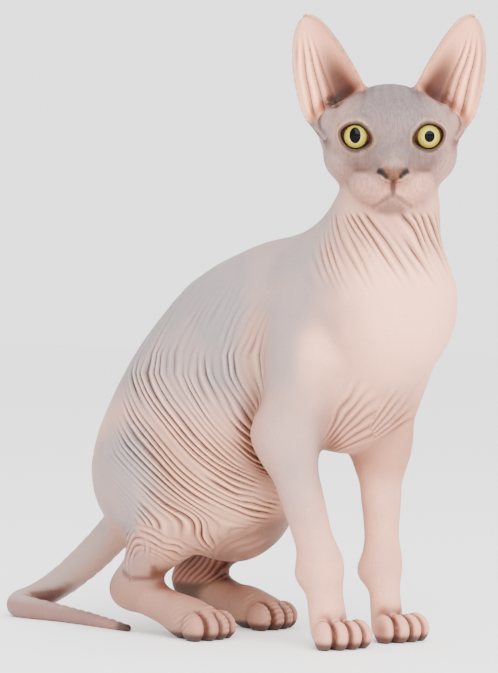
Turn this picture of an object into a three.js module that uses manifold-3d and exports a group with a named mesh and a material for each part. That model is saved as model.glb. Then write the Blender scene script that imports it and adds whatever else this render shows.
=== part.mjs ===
// A life-size still model of a sphynx cat that half sits on its hind feet, with its head turned to its
// right. Millimetres, +X towards the chest, +Y to the cat's left, +Z up, the floor at z = 0.
// The flesh is one rounded form: distances to bones and muscles that blend into each other. Thin flat
// cuts part it into head, neck, torso, legs and paws. Tail, ears and eyes are modelled by themselves.
import * as THREE from "three";
import Module from "manifold-3d";
import { mergeVertices } from "three/addons/utils/BufferGeometryUtils.js";

const wasm = await Module();
wasm.setup();

const RADIANS = Math.PI / 180;

// Driving dimensions
const GAP = 0.3;
const HEAD_CENTRE = [64, -17, 315];
const HEAD_YAW = -52;
const HEAD_PITCH = 0;
const FACE_CELL = 4;
const EYE_RADIUS = 12;
const EYE_PLACE = [17, 21.6, 8.5];
const EYE_TURN = 7;
const EYE_DROP = 8.5;
const EYE_OPENING = [10.6, 9.8];
const LID_RADIUS = 1.9;
const MOUTH_GROOVE = 1.1;
const EAR_LENGTH = 68;
const EAR_HALF_WIDTH = 22;
const EAR_WALL = 2.4;
const EAR_CUP = 17;
const EAR_SUNK = -0.18;
const EAR_ROOT = [-8, 31.5, 22];
const EAR_AXIS = [-0.16, 0.375, 0.9];
const EAR_FRONT = [0.93, 0.36, 0];
const TAIL_ROOT_RADIUS = 13.5;
const TAIL_BEND_RADIUS = 8.2;
const TAIL_TIP_RADIUS = 2.6;

// Joints of the legs, where they stand in this pose
const FORE_RIGHT = {
  side: -1,
  scapula: [-6, -24, 232],
  shoulder: [10, -33, 186],
  elbow: [-4, -36, 132],
  wrist: [19, -29, 44],
  wristRadius: 11,
  paw: [30, -27],
  yaw: -22,
};
const FORE_LEFT = {
  side: 1,
  scapula: [0, 22, 232],
  shoulder: [37, 33, 186],
  elbow: [22, 31, 128],
  wrist: [25, 29, 42],
  wristRadius: 9.5,
  paw: [36, 28],
  yaw: -16,
};
const HIND_RIGHT = {
  hip: [-126, -18, 99],
  knee: [-101, -41, 69],
  heel: [-127, -42, 30],
  ball: [-68, -40],
  yaw: -6,
};
const HIND_LEFT = {
  hip: [-126, 18, 100],
  knee: [-100, 38, 70],
  heel: [-138, 36, 29],
  ball: [-73, 34],
  yaw: 0,
};

// Distances: negative inside, positive outside

// Joins two distances with a fillet about k wide.
function blend(a, b, k) {
  const h = Math.max(k - Math.abs(a - b), 0) / k;
  return Math.min(a, b) - (h * h * k) / 4;
}

// An ellipsoid: centre, half sizes along its own axes, then yaw, pitch and roll in degrees.
function egg([cx, cy, cz], [rx, ry, rz], [yaw = 0, pitch = 0, roll = 0] = []) {
  const turn = new THREE.Euler(roll * RADIANS, -pitch * RADIANS, yaw * RADIANS, "ZYX");
  const m = new THREE.Matrix4().makeRotationFromEuler(turn).transpose().elements;
  return (x, y, z) => {
    const dx = x - cx;
    const dy = y - cy;
    const dz = z - cz;
    const px = m[0] * dx + m[4] * dy + m[8] * dz;
    const py = m[1] * dx + m[5] * dy + m[9] * dz;
    const pz = m[2] * dx + m[6] * dy + m[10] * dz;
    const k0 = Math.hypot(px / rx, py / ry, pz / rz);
    const k1 = Math.hypot(px / (rx * rx), py / (ry * ry), pz / (rz * rz));
    return k1 < 1e-9 ? -Math.min(rx, ry, rz) : (k0 * (k0 - 1)) / k1;
  };
}

// A bone wrapped in flesh, with a radius at each end.
function bone([ax, ay, az], ra, [bx, by, bz], rb) {
  const ux = bx - ax;
  const uy = by - ay;
  const uz = bz - az;
  const length2 = ux * ux + uy * uy + uz * uz;
  return (x, y, z) => {
    const t = ((x - ax) * ux + (y - ay) * uy + (z - az) * uz) / length2;
    const s = Math.min(1, Math.max(0, t));
    const d = Math.hypot(x - ax - s * ux, y - ay - s * uy, z - az - s * uz);
    return d - (ra + (rb - ra) * s);
  };
}

// Several forms blended one after another with the same fillet.
const flesh = (k, forms) => (x, y, z) => {
  let d = forms[0](x, y, z);
  for (let i = 1; i < forms.length; i++) d = blend(d, forms[i](x, y, z), k);
  return d;
};

// Torso along the bent spine: pelvis, loin, ribs, withers and chest, then the belly under them
const torso = flesh(30, [
  egg([-136, 0, 98], [46, 42, 50], [0, 60]),
  egg([-113, 0, 142], [60, 46, 53], [0, 55]),
  egg([-66, 0, 182], [66, 46, 62], [0, 38]),
  egg([-18, 0, 205], [54, 42, 56], [0, 14]),
  egg([40, 0, 212], [46, 45, 52], [0, 70]),
  egg([-76, 0, 110], [42, 40, 42], [0, 30]),
  egg([-76, -4, 93], [34, 36, 42], [0, 14]),
  egg([16, 0, 160], [36, 28, 38]),
]);

// Neck from the withers and the chest up to the back of the head
const neck = flesh(24, [
  bone([18, 0, 236], 33, [54, -10, 284], 25),
  bone([52, 0, 232], 37, [64, -12, 276], 26),
]);

function foreleg({ side, scapula, shoulder, elbow, wrist, wristRadius, paw, yaw }) {
  const blade = scapula.map((v, i) => (v + shoulder[i]) / 2);
  const cuff = [wrist[0], wrist[1], wrist[2] + 8];
  return flesh(14, [
    egg(blade, [18, 14, 42], [0, -18, side * 6]),
    bone(shoulder, 23, elbow, 16),
    bone([elbow[0] - 7, elbow[1], elbow[2] + 6], 13, elbow, 14),
    bone(elbow, 16, cuff, wristRadius),
    bone(cuff, wristRadius, [paw[0] - 6, paw[1], wristRadius], wristRadius + 1),
    egg([wrist[0] - 11, wrist[1], wrist[2] + 2], [4.5, 4.5, 4.5], [yaw]),
  ]);
}

function hindleg({ hip, knee, heel, ball }) {
  const instep = [ball[0] - 14, ball[1], 13];
  return flesh(10, [
    flesh(16, [bone(hip, 36, knee, 20), bone(knee, 17, heel, 12)]),
    bone(heel, 12.5, instep, 11.5),
    bone(instep, 11.5, [ball[0], ball[1], 11], 11.5),
  ]);
}

// Four rounded toes in a fan across the front of a paw, their grooves between them
function toes([px, py], yaw, width, reach) {
  const forward = [Math.cos(yaw * RADIANS), Math.sin(yaw * RADIANS)];
  const forms = [];
  for (let i = 0; i < 4; i++) {
    const out = i - 1.5;
    const across = (out * width) / 4.1;
    const ahead = reach - 2.6 * Math.abs(out) ** 1.5;
    const x = px + forward[0] * ahead - forward[1] * across;
    const y = py + forward[1] * ahead + forward[0] * across;
    forms.push(egg([x, y, 8], [11, width / 7, 9], [yaw + 7 * out, -6]));
  }
  return flesh(1.5, forms);
}

const withToes = (leg, foot, yaw, width, reach) => flesh(4, [leg, toes(foot, yaw, width, reach)]);
const legs = [
  withToes(foreleg(FORE_RIGHT), FORE_RIGHT.paw, FORE_RIGHT.yaw, 34, 9),
  withToes(foreleg(FORE_LEFT), FORE_LEFT.paw, FORE_LEFT.yaw, 34, 9),
  withToes(hindleg(HIND_RIGHT), HIND_RIGHT.ball, HIND_RIGHT.yaw, 33, 7),
  withToes(hindleg(HIND_LEFT), HIND_LEFT.ball, HIND_LEFT.yaw, 33, 8),
];

// Tail: out of the rump, down to the floor, round a sharp bend and forward along the floor
const TAIL_CUT = 0.14;
const TAIL_BEND = 0.5;
const tailLine = new THREE.CatmullRomCurve3(
  [
    [-150, 0, 82],
    [-172, 0, 66],
    [-200, 1, 43],
    [-230, 2, 23],
    [-251, 0, 12],
    [-257, -8, 8.4],
    [-245, -14, 6.8],
    [-208, -18, 5.2],
    [-172, -26, 3.6],
    [-136, -36, 2],
  ].map((p) => new THREE.Vector3(...p)),
);
function tailRadius(t) {
  const s = t < TAIL_BEND ? t / TAIL_BEND : (t - TAIL_BEND) / (1 - TAIL_BEND);
  return t < TAIL_BEND
    ? TAIL_ROOT_RADIUS + (TAIL_BEND_RADIUS - TAIL_ROOT_RADIUS) * s
    : TAIL_BEND_RADIUS + (TAIL_TIP_RADIUS - TAIL_BEND_RADIUS) * s;
}
const tailRoot = bone(
  tailLine.getPointAt(0).toArray(),
  TAIL_ROOT_RADIUS + 5,
  tailLine.getPointAt(TAIL_CUT).toArray(),
  tailRadius(TAIL_CUT),
);

// Head in its own frame: +X out of the nose, +Y to its left, +Z up, the origin level with the cheeks
const both = (make) => [make(1), make(-1)];
const headForms = flesh(9, [
  egg([-14, 0, 10], [40, 36, 32]),
  egg([6, 0, 12], [27, 36, 24]),
  ...both((s) => egg([-2, 21 * s, -3], [26, 21, 20])),
  ...both((s) => egg([-14, 31 * s, 14], [16, 14, 15])),
  egg([22, 0, -6], [23, 14, 15], [0, -18]),
  ...both((s) => egg([26.5, 12.5 * s, -22.5], [14, 13.5, 11], [14 * s])),
  egg([24, 0, -31], [14, 11, 7.5]),
]);
const nose = egg([41.5, 0, -15.5], [5, 9.5, 6]);
const headInOwnFrame = flesh(3, [headForms, nose]);
const headPlace = new THREE.Matrix4()
  .makeRotationFromEuler(new THREE.Euler(0, -HEAD_PITCH * RADIANS, HEAD_YAW * RADIANS, "ZYX"))
  .setPosition(...HEAD_CENTRE);
const toHead = headPlace.clone().invert().elements;
const head = (x, y, z) =>
  headInOwnFrame(
    toHead[0] * x + toHead[4] * y + toHead[8] * z + toHead[12],
    toHead[1] * x + toHead[5] * y + toHead[9] * z + toHead[13],
    toHead[2] * x + toHead[6] * y + toHead[10] * z + toHead[14],
  );

// The whole body, as one distance
function body(x, y, z) {
  let d = blend(torso(x, y, z), neck(x, y, z), 22);
  d = blend(d, head(x, y, z), 9);
  for (const leg of legs) d = blend(d, leg(x, y, z), 13);
  return blend(d, tailRoot(x, y, z), 12);
}

// A closed surface of a distance by dual cells, on a grid given by its positions along each axis: one
// corner in each cell that the surface crosses, and one four-sided face on each grid line it crosses.
function surface(distance, xs, ys, zs) {
  const counts = [xs.length, ys.length, zs.length];
  const [nx, ny, nz] = counts;
  const places = [xs, ys, zs];
  const at = (i, j, k) => (k * ny + j) * nx + i;
  const value = new Float32Array(nx * ny * nz);
  for (let k = 0; k < nz; k++)
    for (let j = 0; j < ny; j++)
      for (let i = 0; i < nx; i++) {
        const rim = [i, j, k].some((n, axis) => n === 0 || n === counts[axis] - 1);
        value[at(i, j, k)] = rim ? 1 : distance(xs[i], ys[j], zs[k]);
      }
  fillPinches(value, counts, at);
  const corners = [];
  const cell = new Int32Array(nx * ny * nz).fill(-1);
  const crossings = [];
  for (let k = 0; k < nz - 1; k++)
    for (let j = 0; j < ny - 1; j++)
      for (let i = 0; i < nx - 1; i++) {
        const sum = [0, 0, 0];
        let n = 0;
        for (let axis = 0; axis < 3; axis++)
          for (let side = 0; side < 4; side++) {
            const a = [i, j, k];
            a[(axis + 1) % 3] += side & 1;
            a[(axis + 2) % 3] += side >> 1;
            const b = a.slice();
            b[axis] += 1;
            const va = value[at(...a)];
            const vb = value[at(...b)];
            if (va < 0 === vb < 0) continue;
            const t = va / (va - vb);
            for (let c = 0; c < 3; c++)
              sum[c] += places[c][a[c]] + t * (places[c][b[c]] - places[c][a[c]]);
            n++;
            if (side === 0) crossings.push([axis, i, j, k, va < 0]);
          }
        if (!n) continue;
        cell[at(i, j, k)] = corners.length / 3;
        const size = Math.min(xs[i + 1] - xs[i], ys[j + 1] - ys[j], zs[k + 1] - zs[k]);
        corners.push(...ontoSurface(distance, sum.map((v) => v / n), size / 3));
      }
  const faces = [];
  for (const [axis, i, j, k, leaving] of crossings) {
    const around = (du, dv) => {
      const c = [i, j, k];
      c[(axis + 1) % 3] -= du;
      c[(axis + 2) % 3] -= dv;
      return cell[at(...c)];
    };
    const q = [around(0, 0), around(1, 0), around(1, 1), around(0, 1)];
    if (!leaving) q.reverse();
    faces.push(q[0], q[1], q[2], q[0], q[2], q[3]);
  }
  return solidOf(corners, faces);
}

// A point moved along the slope of a distance to where it is zero, by at most reach
function ontoSurface(distance, [x, y, z], reach) {
  const step = 0.1;
  const d = distance(x, y, z);
  const slope = new THREE.Vector3(
    distance(x + step, y, z) - d,
    distance(x, y + step, z) - d,
    distance(x, y, z + step) - d,
  ).normalize();
  const move = Math.min(reach, Math.max(-reach, d));
  return [x - move * slope.x, y - move * slope.y, z - move * slope.z];
}

// Where the signs on a grid face alternate, the surface would pinch there, so that face is filled.
function fillPinches(value, [nx, ny, nz], at) {
  let pinched = true;
  while (pinched) {
    pinched = false;
    for (let k = 1; k < nz - 2; k++)
      for (let j = 1; j < ny - 2; j++)
        for (let i = 1; i < nx - 2; i++) {
          const o = at(i, j, k);
          const inside = value[o] < 0;
          for (const [p, q, r] of [
            [at(i + 1, j, k), at(i, j + 1, k), at(i + 1, j + 1, k)],
            [at(i, j + 1, k), at(i, j, k + 1), at(i, j + 1, k + 1)],
            [at(i, j, k + 1), at(i + 1, j, k), at(i + 1, j, k + 1)],
          ]) {
            const alternate =
              value[r] < 0 === inside && value[p] < 0 !== inside && value[q] < 0 !== inside;
            if (!alternate) continue;
            for (const corner of [o, p, q, r]) value[corner] = Math.min(value[corner], -0.01);
            pinched = true;
          }
        }
  }
}

// Grid positions from low to high, about size apart, and about fine apart between the two limits.
function steps(low, high, size, fine = size, from = low, to = high) {
  const list = [];
  for (const [a, b, step] of [
    [low, from, size],
    [from, to, fine],
    [to, high, size],
  ]) {
    const n = Math.round((b - a) / step);
    for (let i = 0; i < n; i++) list.push(a + ((b - a) * i) / n);
  }
  list.push(high);
  return list;
}

const solidOf = (corners, faces) =>
  new wasm.Manifold(
    new wasm.Mesh({
      numProp: 3,
      vertProperties: new Float32Array(corners),
      triVerts: new Uint32Array(faces),
    }),
  );

// A three.js geometry as a solid, placed by a matrix
function solidFrom(geometry, place = new THREE.Matrix4()) {
  const g = geometry.clone().applyMatrix4(place);
  g.deleteAttribute("normal");
  g.deleteAttribute("uv");
  const merged = mergeVertices(g, 1e-4);
  return solidOf(merged.attributes.position.array, merged.index.array);
}

// All space on the side of a plane that its normal points away from
function behind([point, normal], extra = 0) {
  const size = 1000;
  const n = new THREE.Vector3(...normal).normalize();
  const turn = new THREE.Quaternion().setFromUnitVectors(new THREE.Vector3(0, 0, 1), n);
  const centre = new THREE.Vector3(...point).addScaledVector(n, extra - size / 2);
  const place = new THREE.Matrix4().compose(centre, turn, new THREE.Vector3(1, 1, 1));
  return solidFrom(new THREE.BoxGeometry(size, size, size), place);
}

// The largest closed piece of a solid
const largest = (solid) =>
  solid.decompose().reduce((a, b) => (b.volume() > a.volume() ? b : a));

// Nodes of flesh, in the order in which they are cut from the body. Each takes what is left behind all
// of its planes. Its grid reaches from low to high, in cells of the size given.
const UP = [0, 0, 1];
const JAW = [[54, -4, 286], [-0.36, 0.42, -0.83]];
const pawAt = ([x, y], z) => [[x, y, z], [0.25, 0, 1]];
const fleshNodes = [
  {
    name: "forepaw_right",
    planes: [pawAt(FORE_RIGHT.paw, 27), [[0, -2, 0], [0, 1, 0]], [[-20, 0, 0], [-1, 0, 0]]],
    low: [-30, -56, -8],
    high: [66, 8, 46],
    cell: 4.3,
  },
  {
    name: "forepaw_left",
    planes: [pawAt(FORE_LEFT.paw, 27), [[0, 2, 0], [0, -1, 0]], [[-20, 0, 0], [-1, 0, 0]]],
    low: [-30, -8, -8],
    high: [72, 56, 46],
    cell: 4.3,
  },
  {
    name: "hindfoot_right",
    planes: [[[-125, -40, 43], UP], [[-30, 0, 0], [1, 0, 0]], [[0, -12, 0], [0, 1, 0]]],
    low: [-160, -66, -8],
    high: [-20, -2, 54],
    cell: 5.3,
  },
  {
    name: "hindfoot_left",
    planes: [[[-130, 36, 41], UP], [[-30, 0, 0], [1, 0, 0]], [[0, 12, 0], [0, -1, 0]]],
    low: [-164, 2, -8],
    high: [-20, 62, 52],
    cell: 5.3,
  },
  {
    name: "foreleg_right",
    planes: [
      [[0, -20, 136], [0, 0.87, 0.5]],
      [[-31, 0, 132], [-1, 0, -0.17]],
      [[0, -4, 0], [0, 1, 0]],
    ],
    low: [-50, -72, 16],
    high: [70, 6, 222],
    cell: 8.5,
  },
  {
    name: "foreleg_left",
    planes: [
      [[0, 20, 136], [0, -0.87, 0.5]],
      [[-8, 0, 132], [-1, 0, -0.17]],
      [[0, 4, 0], [0, -1, 0]],
    ],
    low: [-30, -6, 16],
    high: [80, 70, 222],
    cell: 8.5,
  },
  {
    name: "hindleg_right",
    planes: [
      [[-96, -24, 84], [-0.1, 0.83, 0.55]],
      [[-76, 0, 60], [1, 0, -0.35]],
      [[0, -4, 0], [0, 1, 0]],
    ],
    low: [-190, -82, 30],
    high: [-10, 0, 150],
    cell: 8.5,
  },
  {
    name: "hindleg_left",
    planes: [
      [[-96, 24, 84], [-0.1, -0.83, 0.55]],
      [[-76, 0, 60], [1, 0, -0.35]],
      [[0, 4, 0], [0, -1, 0]],
    ],
    low: [-190, 0, 30],
    high: [-10, 82, 150],
    cell: 8.5,
  },
  {
    name: "neck",
    planes: [[[38, 0, 240], [-0.32, 0, -0.95]], [JAW[0], JAW[1].map((v) => -v)]],
    low: [-60, -70, 200],
    high: [130, 70, 330],
    cell: 10,
  },
  {
    name: "torso",
    planes: [[JAW[0], JAW[1].map((v) => -v)]],
    low: [-200, -80, 20],
    high: [120, 80, 300],
    cell: 12,
  },
];

const aboveFloor = behind([[0, 0, 0], [0, 0, -1]]);
const tailCut = [
  tailLine.getPointAt(TAIL_CUT).toArray(),
  tailLine.getTangentAt(TAIL_CUT).toArray(),
];

const skin = new THREE.MeshStandardMaterial({ color: 0xcbb2ab, roughness: 0.55 });
const paleSkin = new THREE.MeshStandardMaterial({ color: 0xd9b6a9, roughness: 0.5 });
const iris = new THREE.MeshStandardMaterial({ color: 0xd9d37a, roughness: 0.1 });

const cat = new THREE.Group();

function add(name, solid, look) {
  const m = solid.getMesh();
  const g = new THREE.BufferGeometry();
  g.setAttribute("position", new THREE.BufferAttribute(new Float32Array(m.vertProperties), 3));
  g.setIndex(new THREE.BufferAttribute(new Uint32Array(m.triVerts), 1));
  g.computeVertexNormals();
  const mesh = new THREE.Mesh(g, look);
  mesh.name = name;
  cat.add(mesh);
}

// Flesh: each node's own region of the body, less the regions of the nodes cut before it
const taken = [];
for (const { name, planes, low, high, cell } of fleshNodes) {
  const grid = [0, 1, 2].map((axis) => steps(low[axis], high[axis], cell));
  let solid = surface(body, ...grid).intersect(aboveFloor);
  for (const plane of planes) solid = solid.intersect(behind(plane));
  for (const other of taken) {
    const room = other.map((plane) => behind(plane, GAP)).reduce((a, b) => a.intersect(b));
    solid = solid.subtract(room);
  }
  if (name === "torso") solid = solid.intersect(behind(tailCut));
  add(name, largest(solid), skin);
  taken.push(planes);
}

// Head: its flesh on a grid that is finer over the face, on its own axes
const headGrid = [
  steps(-62, 56, 6.6, FACE_CELL, 10, 50),
  steps(-60, 60, 5.4, FACE_CELL, -34, 34),
  steps(-60, 60, 5.4, FACE_CELL, -42, 22),
];
const fromHead = headPlace.elements;
const headAndNeck = (x, y, z) =>
  blend(
    headInOwnFrame(x, y, z),
    neck(
      fromHead[0] * x + fromHead[4] * y + fromHead[8] * z + fromHead[12],
      fromHead[1] * x + fromHead[5] * y + fromHead[9] * z + fromHead[13],
      fromHead[2] * x + fromHead[6] * y + fromHead[10] * z + fromHead[14],
    ),
    9,
  );
const grownHead = (extra) => surface((x, y, z) => headAndNeck(x, y, z) - extra, ...headGrid);

// Where an eye looks out: a frame at the eyeball's centre, turned a little out and down
function eyePlace(side) {
  const turn = new THREE.Euler(0, EYE_DROP * RADIANS, EYE_TURN * side * RADIANS, "ZYX");
  const [x, y, z] = EYE_PLACE;
  return new THREE.Matrix4().makeRotationFromEuler(turn).setPosition(x, y * side, z);
}

// Lids: a soft ring round the opening, set on the eyeball
function lids(side) {
  const ring = new THREE.TorusGeometry(1, LID_RADIUS / EYE_OPENING[0], 6, 18);
  const ahead = Math.sqrt(EYE_RADIUS ** 2 - EYE_OPENING[0] ** 2) + 0.4;
  const place = new THREE.Matrix4()
    .makeRotationY(Math.PI / 2)
    .premultiply(new THREE.Matrix4().makeScale(EYE_OPENING[0], EYE_OPENING[0], EYE_OPENING[1]))
    .premultiply(new THREE.Matrix4().makeTranslation(ahead, 0, 0))
    .premultiply(eyePlace(side));
  return solidFrom(ring, place);
}

// The opening between the lids, from the eyeball out
function opening(side) {
  const tube = new THREE.CylinderGeometry(1, 1, 30, 18);
  const place = new THREE.Matrix4()
    .makeRotationZ(Math.PI / 2)
    .premultiply(new THREE.Matrix4().makeScale(1, EYE_OPENING[0], EYE_OPENING[1]))
    .premultiply(new THREE.Matrix4().makeTranslation(15, 0, 0))
    .premultiply(eyePlace(side));
  return solidFrom(tube, place);
}
const ball = (radius, side) => solidFrom(new THREE.SphereGeometry(radius, 14, 9), eyePlace(side));

// A groove of the mouth: a thin tube from under the nose out to one corner of the lips
function groove(points, radius) {
  const line = new THREE.CatmullRomCurve3(points.map((p) => new THREE.Vector3(...p)));
  const section = new THREE.Shape().absarc(0, 0, radius, 0, 2 * Math.PI);
  return solidFrom(
    new THREE.ExtrudeGeometry(section, {
      steps: 9,
      curveSegments: 3,
      extrudePath: line,
      bevelEnabled: false,
    }),
  );
}

// The point of the face straight ahead of a place across and up
function onFace([y, z]) {
  let x = 60;
  while (x > 0 && headInOwnFrame(x, y, z) > 0) x -= 0.1;
  return [x, y, z];
}
const LIP_LINE = [[0, -28], [5, -31.5], [10.5, -35], [15, -35], [18.5, -32]];
const PHILTRUM = [[0, -19], [0, -23.5], [0, -28]];
const lipLine = (side) => groove(LIP_LINE.map(([y, z]) => onFace([y * side, z])), MOUTH_GROOVE);
const philtrum = groove(PHILTRUM.map(onFace), MOUTH_GROOVE);
function nostril(side) {
  const place = new THREE.Matrix4().makeScale(3, 2, 1.5).setPosition(...onFace([4.6 * side, -16]));
  return solidFrom(new THREE.SphereGeometry(1, 10, 7), place);
}

let headSolid = grownHead(0);
for (const side of [1, -1]) {
  headSolid = headSolid.add(lids(side)).subtract(opening(side)).add(lids(side));
}
for (const side of [1, -1]) {
  headSolid = headSolid.subtract(ball(EYE_RADIUS + GAP, side));
  headSolid = headSolid.subtract(lipLine(side)).subtract(nostril(side));
}
headSolid = headSolid.subtract(philtrum).transform(headPlace.elements);
headSolid = headSolid.intersect(behind(JAW, -GAP));
add("head", largest(headSolid), skin);

for (const [name, side] of [["eye_left", 1], ["eye_right", -1]]) {
  add(name, ball(EYE_RADIUS, side).transform(headPlace.elements), iris);
}

// Ear: a leaf-shaped sheet, open to the front, whose middle is pressed back into a cup. A place on it is
// s from edge to edge, -1 to 1, and t from the root up to the tip, 0 to 1.
const earUp = new THREE.Vector3(...EAR_AXIS).normalize();
const earFront = new THREE.Vector3(...EAR_FRONT).projectOnPlane(earUp).normalize();
const earAcross = new THREE.Vector3().crossVectors(earUp, earFront);
const earPlace = new THREE.Matrix4()
  .makeBasis(earFront, earAcross, earUp)
  .setPosition(...EAR_ROOT);
function onEar(s, t) {
  const rise = Math.max(t, 0);
  const taper = Math.min(1, Math.max(0, (8 - EAR_LENGTH * t) / 22));
  const width = EAR_HALF_WIDTH * (1 - 0.5 * taper ** 2) * (1 - rise ** 1.6) ** 0.6;
  const cup = EAR_CUP * (1.02 - rise) ** 0.8;
  return new THREE.Vector3(-cup * (1 - s * s), s * width, EAR_LENGTH * t);
}
function ear(side) {
  const rows = 11;
  const columns = 8;
  const corners = [];
  const faces = [];
  const step = 1e-3;
  for (const out of [1, -1])
    for (let i = 0; i <= rows; i++)
      for (let j = 0; j <= columns; j++) {
        const t = EAR_SUNK + (0.985 - EAR_SUNK) * (1 - (1 - i / rows) ** 1.4);
        const s = (2 * j) / columns - 1;
        const along = onEar(s, t + step).sub(onEar(s, t - step));
        const across = onEar(s + step, t).sub(onEar(s - step, t));
        const normal = across.cross(along).normalize();
        const p = onEar(s, t).addScaledVector(normal, (out * EAR_WALL) / 2).applyMatrix4(earPlace);
        corners.push(p.x, p.y * side, p.z);
      }
  const index = (layer, i, j) => (layer * (rows + 1) + i) * (columns + 1) + j;
  const quad = (a, b, c, d) => faces.push(a, b, c, a, c, d);
  for (let i = 0; i < rows; i++) {
    for (let j = 0; j < columns; j++) {
      quad(index(0, i, j), index(0, i, j + 1), index(0, i + 1, j + 1), index(0, i + 1, j));
      quad(index(1, i, j), index(1, i + 1, j), index(1, i + 1, j + 1), index(1, i, j + 1));
    }
    quad(index(0, i, 0), index(0, i + 1, 0), index(1, i + 1, 0), index(1, i, 0));
    quad(index(0, i, columns), index(1, i, columns), index(1, i + 1, columns), index(0, i + 1, columns));
  }
  for (let j = 0; j < columns; j++) {
    quad(index(0, 0, j), index(1, 0, j), index(1, 0, j + 1), index(0, 0, j + 1));
    quad(index(0, rows, j), index(0, rows, j + 1), index(1, rows, j + 1), index(1, rows, j));
  }
  if (side < 0) faces.reverse();
  return solidOf(corners, faces);
}
const seat = grownHead(GAP);
for (const [name, side] of [["ear_left", 1], ["ear_right", -1]]) {
  add(name, largest(ear(side).subtract(seat)).transform(headPlace.elements), paleSkin);
}

// Tail: a round tube that tapers along its line, in three lengths, flat where it lies on the floor
function tube(from, to, count, sides) {
  const corners = [];
  const faces = [];
  for (let i = 0; i <= count; i++) {
    const t = from + ((to - from) * i) / count;
    const centre = tailLine.getPointAt(t);
    const ahead = tailLine.getTangentAt(t);
    const up = new THREE.Vector3(0, 0, 1).projectOnPlane(ahead).normalize();
    const right = new THREE.Vector3().crossVectors(ahead, up);
    for (let j = 0; j < sides; j++) {
      const a = (2 * Math.PI * j) / sides;
      const p = centre.clone();
      p.addScaledVector(right, tailRadius(t) * Math.cos(a));
      p.addScaledVector(up, tailRadius(t) * Math.sin(a));
      corners.push(...p.toArray());
    }
  }
  const ring = (i, j) => i * sides + (j % sides);
  for (let i = 0; i < count; i++)
    for (let j = 0; j < sides; j++) {
      faces.push(ring(i, j), ring(i, j + 1), ring(i + 1, j + 1));
      faces.push(ring(i, j), ring(i + 1, j + 1), ring(i + 1, j));
    }
  for (let j = 1; j < sides - 1; j++) {
    faces.push(ring(0, 0), ring(0, j + 1), ring(0, j));
    faces.push(ring(count, 0), ring(count, j), ring(count, j + 1));
  }
  const made = solidOf(corners, faces);
  return made.volume() < 0 ? solidOf(corners, faces.reverse()) : made;
}
const gapAlong = GAP / tailLine.getLength();
for (const [name, from, to, count] of [
  ["tail_base", TAIL_CUT + gapAlong, 0.4, 6],
  ["tail_bend", 0.4 + gapAlong, 0.66, 12],
  ["tail_end", 0.66 + gapAlong, 1, 8],
]) {
  add(name, largest(tube(from, to, count, 10).intersect(aboveFloor)), skin);
}

// The origin is in the middle of the model's box, on the floor.
const box = new THREE.Box3().setFromObject(cat);
const middle = box.getCenter(new THREE.Vector3());
for (const mesh of cat.children) mesh.geometry.translate(-middle.x, -middle.y, -box.min.z);

export default cat;
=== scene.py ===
"""A sphynx cat that half sits on its hind feet, its head turned to its right and its tail bent along
the floor. The forms are worked out in millimetres in the pose's own axes and set into the frame's
metres when their meshes are made."""

import math
from concurrent.futures import ThreadPoolExecutor

import bpy
import numpy as np
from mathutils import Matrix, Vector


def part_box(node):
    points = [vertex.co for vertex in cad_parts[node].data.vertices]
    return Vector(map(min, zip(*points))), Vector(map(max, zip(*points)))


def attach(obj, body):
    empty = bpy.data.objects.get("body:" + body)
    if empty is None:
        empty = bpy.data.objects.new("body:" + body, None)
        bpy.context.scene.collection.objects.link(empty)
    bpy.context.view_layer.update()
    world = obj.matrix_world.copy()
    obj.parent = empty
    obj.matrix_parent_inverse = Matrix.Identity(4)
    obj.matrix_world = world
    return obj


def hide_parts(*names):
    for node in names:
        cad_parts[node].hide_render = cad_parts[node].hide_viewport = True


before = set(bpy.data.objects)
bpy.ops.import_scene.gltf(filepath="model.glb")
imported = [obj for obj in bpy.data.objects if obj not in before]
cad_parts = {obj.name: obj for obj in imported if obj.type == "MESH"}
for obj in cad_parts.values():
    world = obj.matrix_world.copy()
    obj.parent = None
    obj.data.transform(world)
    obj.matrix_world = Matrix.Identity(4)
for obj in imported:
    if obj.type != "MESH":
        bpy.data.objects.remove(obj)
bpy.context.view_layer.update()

# Head. Skull, cheeks and the soft muzzle over them, rounded forms that run into each other, worked out
# on the head's own axes: +X out of the nose, +Y to its left. It is turned 52 degrees to the cat's right.
HEAD_CENTRE = np.array([64.0, -17.0, 315.0])
HEAD_YAW = -52.0
EYE_RADIUS = 12.0
EYE_PLACE = (17.0, 21.6, 8.5)
EYE_TURN = 7.0
EYE_DROP = 8.5
EYE_OPENING = (11.1, 9.4)
EYE_SLANT = 15.0
EYE_CORNERS = 1.75
LID_RADIUS = 1.5


def turned(yaw=0.0, pitch=0.0, roll=0.0):
    """A form's own axes as columns, after yaw about Z, pitch up and roll, in degrees."""
    a, b, c = np.radians([yaw, -pitch, roll])
    z = np.array([[np.cos(a), -np.sin(a), 0], [np.sin(a), np.cos(a), 0], [0, 0, 1]])
    y = np.array([[np.cos(b), 0, np.sin(b)], [0, 1, 0], [-np.sin(b), 0, np.cos(b)]])
    x = np.array([[1, 0, 0], [0, np.cos(c), -np.sin(c)], [0, np.sin(c), np.cos(c)]])
    return z @ y @ x


def blend(a, b, k):
    """The lower of two distances, with a fillet about k wide where they meet."""
    h = np.maximum(k - np.abs(a - b), 0) / k
    return np.minimum(a, b) - h * h * k / 4


def carve(a, b, k):
    """Distance a with the form of distance b cut out of it, the edge rounded over about k."""
    return -blend(-a, b, k)


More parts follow.
